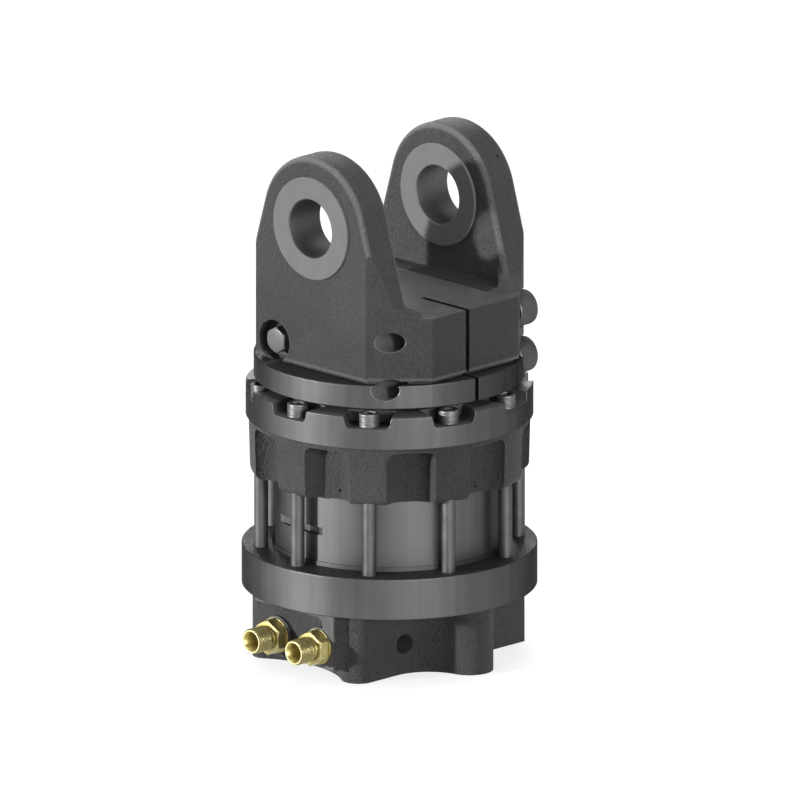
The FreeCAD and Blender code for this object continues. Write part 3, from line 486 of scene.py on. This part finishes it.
def steel(name, dark, light, smooth, matt, metallic, warm=0.0, wear=None, specular=0.5, bored=False):
    paint = Paint(name)
    tree = paint.tree
    body = useGroup(tree, smoothSteel, Position=paint.place, Dark=shade(dark, warm),
                    Light=shade(light, warm), Smooth=smooth, Matt=matt)
    touch = useGroup(tree, edgeTouch, Radius=steelEdge * mm)
    worn = shade(light * wearDefault if wear is None else wear, warm)
    colour = mixColour(tree, times(tree, touch["Rubbed"], wearShare), body["Colour"], worn)
    if bored:  # a bore that the pin keeps bright
        away = paint.away(paint.y, 0.0, paint.z, boreLook["z"])
        inside = inverse(tree, paint.ramp(away, *boreLook["wall"]))
        colour = mixColour(tree, inside, colour, shade(boreLook["tone"], warm))
        metallic = times(tree, inside, boreLook["metallic"])
    return paint.finish(colour, body["Roughness"], body["Height"], metallic, steelBump,
                        touch["Normal"], specular)


turnedLooks = {"ringSteel": {"dark": 0.08, "light": 0.108, "streaks": 60.0},
               "plateSteel": {"dark": 0.07, "light": 0.09, "streaks": 95.0}}


def turnedSteel(name, dark, light, streaks):
    paint = Paint(name)
    body = useGroup(paint.tree, turnedFace, Position=paint.place, Dark=shade(dark),
                    Light=shade(light, rimLook["warm"]), RimLines=rimLook["lines"], Streaks=streaks)
    return paint.finish(body["Colour"], body["Roughness"], body["Height"], rimLook["metallic"],
                        turnedBump)


# The thread and valley tones are painted shade; the rubbed tone is edge wear and the painted highlight of
# the tip.
yellowLook = {"dark": (0.4, 0.34, 0.13, 1.0), "light": (0.5, 0.44, 0.2, 1.0),
              "thread": (0.2, 0.165, 0.055, 1.0), "valley": (0.1, 0.08, 0.03, 1.0),
              "rubbed": (0.8, 0.74, 0.42, 1.0), "drift": 70.0, "driftDetail": 3.0,
              "driftSpan": (0.35, 0.65), "grain": 1100.0, "grainDetail": 2.0,
              "threadX": -146.5, "tipX": -165.7, "mouthRadius": 11.2, "valleyRadius": (12.3, 12.8),
              "threadShare": 0.5, "valleyShare": 0.7, "rubbedShare": 0.5,
              "roughness": (0.33, 0.43), "metallic": 0.85, "bump": 0.03, "rimTint": 1.0}


def yellowPlate():
    # Zinc with a yellow chromate film: gold with a greenish to reddish drift.
    look, paint = yellowLook, Paint("yellowPlate")
    tree = paint.tree
    drift = noise(tree, paint.place, look["drift"], look["driftDetail"])
    fine = noise(tree, paint.place, look["grain"], look["grainDetail"])
    colour = mixColour(tree, rise(tree, drift, *look["driftSpan"]), look["dark"], look["light"])
    touch = useGroup(tree, edgeTouch, Radius=steelEdge * mm)
    away = paint.away(calc(tree, "ABSOLUTE", paint.y), fittingLook["spacing"] / 2,
                      paint.z, fittingLook["z"])  # from the axis of the nearer fitting
    shell = times(tree, paint.under(paint.x, look["threadX"]), paint.over(away, look["mouthRadius"]))
    valley = times(tree, shell, inverse(tree, paint.ramp(away, *look["valleyRadius"])))
    tip = paint.under(paint.x, look["tipX"])
    valleyShade = times(tree, valley, inverse(tree, tip))
    # Painted shade: the threaded part is painted darker, and its roots darker still.
    colour = mixColour(tree, times(tree, shell, look["threadShare"]), colour, look["thread"])
    colour = mixColour(tree, times(tree, valleyShade, look["valleyShare"]), colour, look["valley"])
    # The tip face is painted in the rubbed tone as a painted highlight; on the edges that tone is wear.
    rubbed = times(tree, most(tree, touch["Rubbed"], tip), look["rubbedShare"])
    colour = mixColour(tree, rubbed, colour, look["rubbed"])
    rough = mixValue(tree, fine, *look["roughness"])
    return paint.finish(colour, rough, fine, look["metallic"], look["bump"], touch["Normal"],
                        rimTint=look["rimTint"])


rubberLook = {"dark": 0.012, "light": 0.03, "grain": 700.0, "detail": 3.0, "roughness": (0.5, 0.68),
              "bump": 0.08}


def rubber():
    look, paint = rubberLook, Paint("blackRubber")
    fine = noise(paint.tree, paint.place, look["grain"], look["detail"])
    colour = mixColour(paint.tree, fine, shade(look["dark"]), shade(look["light"]))
    rough = mixValue(paint.tree, fine, *look["roughness"])
    return paint.finish(colour, rough, fine, 0.0, look["bump"])


metals = {name: turnedSteel(name, **look) for name, look in turnedLooks.items()}
metals.update((name, steel(name, **look)) for name, look in steelLooks.items())
chromate = yellowPlate()
sealRubber = rubber()

looks = {
    "foot_casting": footIron, "upper_cover": coverIron, "clevis_casting": clevisIron,
    "cam_ring": metals["ringSteel"], "lower_side_plate": metals["plateSteel"],
    "upper_side_plate": metals["plateSteel"], "tie_screws": metals["screwSteel"],
    "clamp_screws": metals["screwSteel"], "lock_bolt": metals["zincPlate"],
    "lower_bush": metals["bronze"], "upper_bush": metals["bronze"], "thrust_cage": metals["bronze"],
    "face_o_rings": sealRubber, "shaft_seal": sealRubber, "wiper_ring": sealRubber,
    "port_fitting_front": chromate, "port_fitting_rear": chromate, "port_washers": chromate,
}
for name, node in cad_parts.items():
    other = "bushSteel" if name.startswith("pin_bush") else "groundSteel"
    for holder in node.material_slots:
        holder.material = looks.get(name, metals[other])
print("stage 3: materials on all the CAD nodes")


# Detailed pieces, each worked out as whole arrays: rows along an axis, columns round it

def revolve(rows, count, knurls=0, pitch=1.5, closed=False, hexTurn=0.0):
    # Each row is (along, radius, hexShare, knurlDepth, cap, threadDepth) in mm. At angle t a hexagon's side
    # lies at radius / cos(t less hexTurn, folded into one sixth of a turn, less 30 degrees). The distance
    # from the axis goes from radius to that side by hexShare, then the knurl and thread waves come off,
    # and it is never more than cap.
    table = np.array(rows, float)
    along, radius, hexShare, knurl, cap, thread = (table[:, i:i + 1] for i in range(6))
    angle = np.linspace(0.0, 2 * np.pi, count, endpoint=False)[None, :]
    sixth = 1 / np.cos(np.mod(angle - np.radians(hexTurn), np.pi / 3) - np.pi / 6)
    reach = radius * (1 + hexShare * (sixth - 1))
    reach = reach - knurl * (0.5 - 0.5 * np.cos(knurls * angle)) \
        - thread * (0.5 + 0.5 * np.cos(2 * np.pi * along / pitch - angle))
    reach = np.minimum(reach, cap)
    across, up = reach * np.cos(angle), reach * np.sin(angle)
    points = np.stack([np.broadcast_to(along, reach.shape), across, up], axis=-1).reshape(-1, 3)
    low = np.arange(len(rows) if closed else len(rows) - 1)[:, None] * count
    high = (low + count) % (len(rows) * count)
    here = np.arange(count)[None, :]
    after = (here + 1) % count
    faces = np.stack([low + here, low + after, high + after, high + here], axis=-1).reshape(-1, 4)
    return points, faces


def standing(points, origin, axis):
    # Turns points from (along, across, up) to a place: along goes to the axis, the others stay square to it.
    axis = np.array(axis, float)
    side = np.cross(axis, (0.0, 0.0, 1.0) if abs(axis[2]) < 0.5 else (1.0, 0.0, 0.0))
    side /= np.linalg.norm(side)
    return np.array(origin) + points @ np.array([axis, side, np.cross(axis, side)])


weld = 1e-6  # metres, within which corners are one
screwCrease, hexCrease = 32.0, 25.0  # degrees, above which an edge stays sharp


def makePiece(name, parts, body, stands, material, crease=screwCrease, second=None):
    # Joins (points, faces) arrays in mm to one closed mesh in metres, with its faces outwards.
    points = np.concatenate([p for p, f in parts]) * mm
    starts = np.cumsum([0] + [len(p) for p, f in parts[:-1]])
    faces = np.concatenate([f + start for (p, f), start in zip(parts, starts)])
    mesh = bpy.data.meshes.new(name)
    mesh.from_pydata(points.tolist(), [], faces.tolist())
    tidy = bmesh.new()
    tidy.from_mesh(mesh)
    bmesh.ops.remove_doubles(tidy, verts=tidy.verts, dist=weld)
    bmesh.ops.recalc_face_normals(tidy, faces=tidy.faces)
    tidy.to_mesh(mesh)
    tidy.free()
    mesh.shade_smooth()
    mesh.set_sharp_from_angle(angle=math.radians(crease))
    mesh.materials.append(material)
    if second:  # a second material above a height, for screw heads
        middles = np.empty(len(mesh.polygons) * 3)
        mesh.polygons.foreach_get("center", middles)
        mesh.materials.append(second[0])
        mesh.polygons.foreach_set("material_index", (middles[2::3] > second[1] * mm).astype(np.int32))
    piece = bpy.data.objects.new(name, mesh)
    scene.collection.objects.link(piece)
    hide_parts(*stands)
    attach(piece, body)
    return piece


free = 99.0  # a cap that never bites


def plain(along, radius):
    return (along, radius, 0.0, 0.0, free, 0.0)


def hexed(along, radius, cap=free):
    return (along, radius, 1.0, 0.0, cap, 0.0)


def socketHeadRows(look):
    # Tip, shank, knurled head, chamfer, hexagon socket and its drilled bottom, along the screw from its tip.
    shape, radius, head, tall = headShape, look["radius"], look["headRadius"], look["headHeight"]
    length, top = look["shank"], look["shank"] + tall
    socket, bottom = look["socket"] / 2, top - look["socketDepth"]
    mouth = socket * shape["mouth"]
    rows = [plain(0, 0), plain(0, radius - shape["tipMm"]), plain(shape["tipMm"], radius),
            plain(length - shape["underMm"], radius), plain(length, radius + shape["neckMm"]),
            plain(length, head - shape["underMm"]), plain(length + shape["under"] * tall, head)]
    for along in np.linspace(length + shape["knurlLow"] * tall, top - shape["knurlHigh"] * tall,
                             look["rows"]):
        rows.append((along, head, 0.0, look["knurl"], free, look["rings"]))
    return rows + [
        plain(top - shape["rimLow"] * tall, head - shape["rimLowMm"]),
        plain(top - shape["rimHigh"] * tall, head - shape["rimHighMm"]),
        plain(top, head - shape["face"] * head), plain(top, mouth),
        hexed(top - shape["mouthMm"], socket, mouth), hexed(top - shape["flatsMm"], socket),
        hexed(bottom, socket), plain(bottom, socket * shape["drill"]),
        plain(bottom - shape["drillMm"], 0)]


def buildTieScrews():
    points, faces = revolve(socketHeadRows(tieLook), tieLook["count"], tieLook["knurls"],
                            pitch=tieLook["ringPitch"])
    parts = []
    for i in range(tieLook["screws"]):
        turn = math.radians(tieLook["socketStep"] * i)  # each socket stopped somewhere else
        spun = points @ np.array([[1, 0, 0], [0, math.cos(turn), math.sin(turn)],
                                  [0, -math.sin(turn), math.cos(turn)]])
        place = math.radians(360.0 / tieLook["screws"] * i)
        origin = (tieLook["pitchRadius"] * math.cos(place), tieLook["pitchRadius"] * math.sin(place),
                  tieLook["tip"])
        parts.append((standing(spun, origin, (0, 0, 1)), faces))
    # The heads take the lighter copy of the screw steel, as painted light.
    return makePiece("tieScrewsDetail", parts, "housing", ["tie_screws"],
                     metals["screwSteel"],
                     second=(metals["headSteelPaintedLight"], tieLook["tip"] + tieLook["shank"]))


def buildClampScrews():
    points, faces = revolve(socketHeadRows(clampLook), clampLook["count"], clampLook["knurls"])
    parts = [(standing(points, (clampLook["tip"], clampLook["y"], z), (1, 0, 0)), faces)
             for z in clampLook["levels"]]
    return makePiece("clampScrewsDetail", parts, "rotor", ["clamp_screws"],
                     metals["screwSteel"])


def buildLockBolt():
    # A hexagon head cut by a flat cone at both faces, so that its corners end in arcs, and a plain shank.
    look, lower, upper = lockLook, lockLook["lowerArc"], lockLook["upperArc"]
    half, tall, length = look["flats"] / 2, look["height"], look["end"] - look["seat"]
    washer = half - look["inset"]
    rows = [plain(0, 0), plain(0, look["radius"] - look["tipChamfer"]),
            plain(look["tipChamfer"], look["radius"]), plain(length, look["radius"]),
            plain(length, washer), plain(length + look["washer"], washer)]
    for along in np.linspace(look["washer"], tall - lower["end"], lower["rows"]):
        rows.append(hexed(length + along, half, washer + (along - lower["start"]) * lower["slope"]))
    for along in np.linspace(tall - upper["start"], tall - upper["end"], upper["rows"]):
        rows.append(hexed(length + along, half, look["face"] + (tall - along) * upper["slope"]))
    rows += [plain(length + tall - look["rim"], look["face"]),
             plain(length + tall, look["face"] - look["rimInset"]), plain(length + tall, 0)]
    points, faces = revolve(rows, look["count"], hexTurn=look["hexTurn"])
    parts = [(standing(points, (look["end"], look["y"], look["z"]), (-1, 0, 0)), faces)]
    return makePiece("lockBoltDetail", parts, "rotor", ["lock_bolt"],
                     metals["zincPlate"], hexCrease)


def fittingRows():
    # Stud, hexagon with arcs at its corners, groove, collar, helical thread ridges, cone mouth and bore.
    f, lower, upper = fittingLook, fittingLook["lowerArc"], fittingLook["upperArc"]
    half, edge, threadEnd = f["flats"] / 2, f["edge"], f["tip"] - f["threadStop"]
    rows = [plain(-f["studLength"], f["stud"]), plain(f["hexStart"], f["stud"]),
            plain(f["hexStart"], half - f["seatInset"])]
    for along in np.linspace(lower["start"], lower["end"], lower["rows"]):
        rows.append(hexed(f["hexStart"] + along, half, half - edge + along * lower["slope"]))
    for along in np.linspace(upper["start"], upper["end"], upper["rows"]):
        rows.append(hexed(f["hexEnd"] - along, half, f["face"] + along * upper["slope"]))
    rows += [plain(f["hexEnd"], f["face"] - f["faceInset"]), plain(f["hexEnd"], f["groove"] + edge),
             plain(f["hexEnd"] + edge, f["groove"]), plain(f["collarStart"] - edge, f["groove"]),
             plain(f["collarStart"], f["groove"] + edge),
             plain(f["collarStart"], f["radius"] - 2 * edge),
             plain(f["collarStart"] + 2 * edge, f["radius"]),
             plain(f["threadStart"] - 3 * edge, f["radius"]),
             plain(f["threadStart"] - edge, f["radius"] - f["runout"])]
    turns = (threadEnd - f["threadStart"]) / f["pitch"]
    for along in np.linspace(f["threadStart"], threadEnd, int(turns * f["turnRows"])):
        rows.append((along, f["radius"], 0.0, 0.0, f["radius"] - f["crest"], f["threadDepth"]))
    rows += [plain(f["tip"] - f["rim"], f["radius"] - f["tipInset"]),
             plain(f["tip"], f["radius"] - f["rimInset"]), plain(f["tip"], f["mouth"] + f["rim"]),
             plain(f["tip"] - f["rim"], f["mouth"]), plain(f["tip"] - f["cone"], f["bore"]),
             plain(-f["studLength"], f["bore"])]
    return rows


def buildFittings():
    points, faces = revolve(fittingRows(), fittingLook["count"], pitch=fittingLook["pitch"],
                            closed=True, hexTurn=fittingLook["hexTurn"])
    for name, side in (("front", -1), ("rear", 1)):
        origin = (fittingLook["portFace"], side * fittingLook["spacing"] / 2, fittingLook["z"])
        makePiece("fitting" + name.capitalize() + "Detail",
                  [(standing(points, origin, (-1, 0, 0)), faces)],
                  "housing", ["port_fitting_" + name], chromate, hexCrease)


buildTieScrews()
buildClampScrews()
buildLockBolt()
buildFittings()
print("stage 4: screws, bolt and fittings built")


# Camera, floor and light. Angles are in degrees, the camera's other values in mm, and the rest in metres.

view = {"azimuth": -45.0, "elevation": 15.6, "aim": (7.4, -7.4, 260.1), "width": 800.0,
        "distance": 3000.0, "reach": 30000.0}


def placeCamera():
    turn, lift = math.radians(view["azimuth"]), math.radians(view["elevation"])
    back = Vector((math.sin(turn) * math.cos(lift), -math.cos(turn) * math.cos(lift), math.sin(lift)))
    data = bpy.data.cameras.new("studioCamera")
    data.type = "ORTHO"
    data.ortho_scale = view["width"] * mm
    data.clip_end = view["reach"] * mm
    camera = bpy.data.objects.new("studioCamera", data)
    camera.rotation_mode = "QUATERNION"
    camera.rotation_quaternion = (-back).to_track_quat("-Z", "Y")
    camera.location = Vector(view["aim"]) * mm + back * view["distance"] * mm
    scene.collection.objects.link(camera)
    scene.camera = camera


stageLook = {"radius": 14.0, "corners": 96, "floorColour": 0.34, "glow": 0.78, "studio": 0.24,
             "horizon": (0.02, 0.3)}


def rayMask(tree):
    # 1 for what the camera sees directly, in a reflection or through glass.
    path = addNode(tree, "ShaderNodeLightPath").outputs
    return most(tree, path["Is Camera Ray"], path["Is Glossy Ray"], path["Is Transmission Ray"])


def buildFloor():
    # A wide pale disc under the foot. Part of its white is glow, the rest takes the shadow.
    count = stageLook["corners"]
    angle = np.linspace(0.0, 2 * np.pi, count, endpoint=False)
    ring = np.column_stack([np.cos(angle), np.sin(angle), np.zeros(count)]) * stageLook["radius"]
    mesh = bpy.data.meshes.new("floor")
    mesh.from_pydata(ring.tolist(), [], [list(range(count))])
    floor = bpy.data.objects.new("floor", mesh)
    scene.collection.objects.link(floor)
    material = bpy.data.materials.new("floorPaper")
    material.use_nodes = True
    tree = material.node_tree
    tree.nodes.clear()
    diffuse = addNode(tree, "ShaderNodeBsdfDiffuse", {"Color": shade(stageLook["floorColour"])})
    glow = addNode(tree, "ShaderNodeEmission", {
        "Color": shade(1.0), "Strength": times(tree, rayMask(tree), stageLook["glow"])})
    total = addNode(tree, "ShaderNodeAddShader", {0: diffuse.outputs[0], 1: glow.outputs[0]})
    addNode(tree, "ShaderNodeOutputMaterial", {"Surface": total.outputs[0]})
    floor.data.materials.append(material)


def buildWorld():
    world = bpy.data.worlds.new("studioWorld")
    scene.world = world
    world.use_nodes = True
    tree = world.node_tree
    tree.nodes.clear()
    way = addNode(tree, "ShaderNodeTexCoord").outputs["Generated"]
    high = rise(tree, split(tree, way)[2], *stageLook["horizon"])
    low = times(tree, rayMask(tree), inverse(tree, high))  # white low down, studio grey above
    level = mixValue(tree, low, stageLook["studio"], 1.0)
    sky = addNode(tree, "ShaderNodeBackground", {"Color": shade(1.0), "Strength": level})
    addNode(tree, "ShaderNodeOutputWorld", {"Surface": sky.outputs[0]})


lampLook = {
    "keySun": {"toLight": (-0.9, 0.4, 0.16), "strength": 4.0, "angle": 3.0},
    "sideSun": {"toLight": (-0.12, -1.0, 0.22), "strength": 1.5, "angle": 12.0},
    "topPanel": {"place": (0.2, 0.0, 2.6), "aim": (0.0, 0.0, 0.26), "size": 2.0, "power": 44.0},
    "backSun": {"toLight": (0.7, 0.8, 0.3), "strength": 1.0, "angle": 20.0},
    "keyGloss": {"toLight": (-0.9, 0.4, 0.16), "strength": 2.4, "angle": 3.0, "glossOnly": True},
    "sideGloss": {"toLight": (-0.5, -1.0, 0.2), "strength": 2.0, "angle": 20.0, "glossOnly": True},
}


def buildLamps():
    for name, look in lampLook.items():
        isSun = "toLight" in look
        data = bpy.data.lights.new(name, "SUN" if isSun else "AREA")
        lamp = bpy.data.objects.new(name, data)
        lamp.rotation_mode = "QUATERNION"
        if isSun:
            data.energy = look["strength"]
            data.angle = math.radians(look["angle"])
            lamp.rotation_quaternion = (-Vector(look["toLight"])).to_track_quat("-Z", "Y")
        else:
            data.energy = look["power"]
            data.size = look["size"]
            lamp.location = look["place"]
            aim = Vector(look["aim"]) - lamp.location
            lamp.rotation_quaternion = aim.to_track_quat("-Z", "Y")
        lamp.visible_diffuse = not look.get("glossOnly", False)
        scene.collection.objects.link(lamp)


placeCamera()
buildFloor()
buildWorld()
buildLamps()
scene.view_settings.view_transform = "Standard"
print("stage 5: camera, floor and lamps in place")
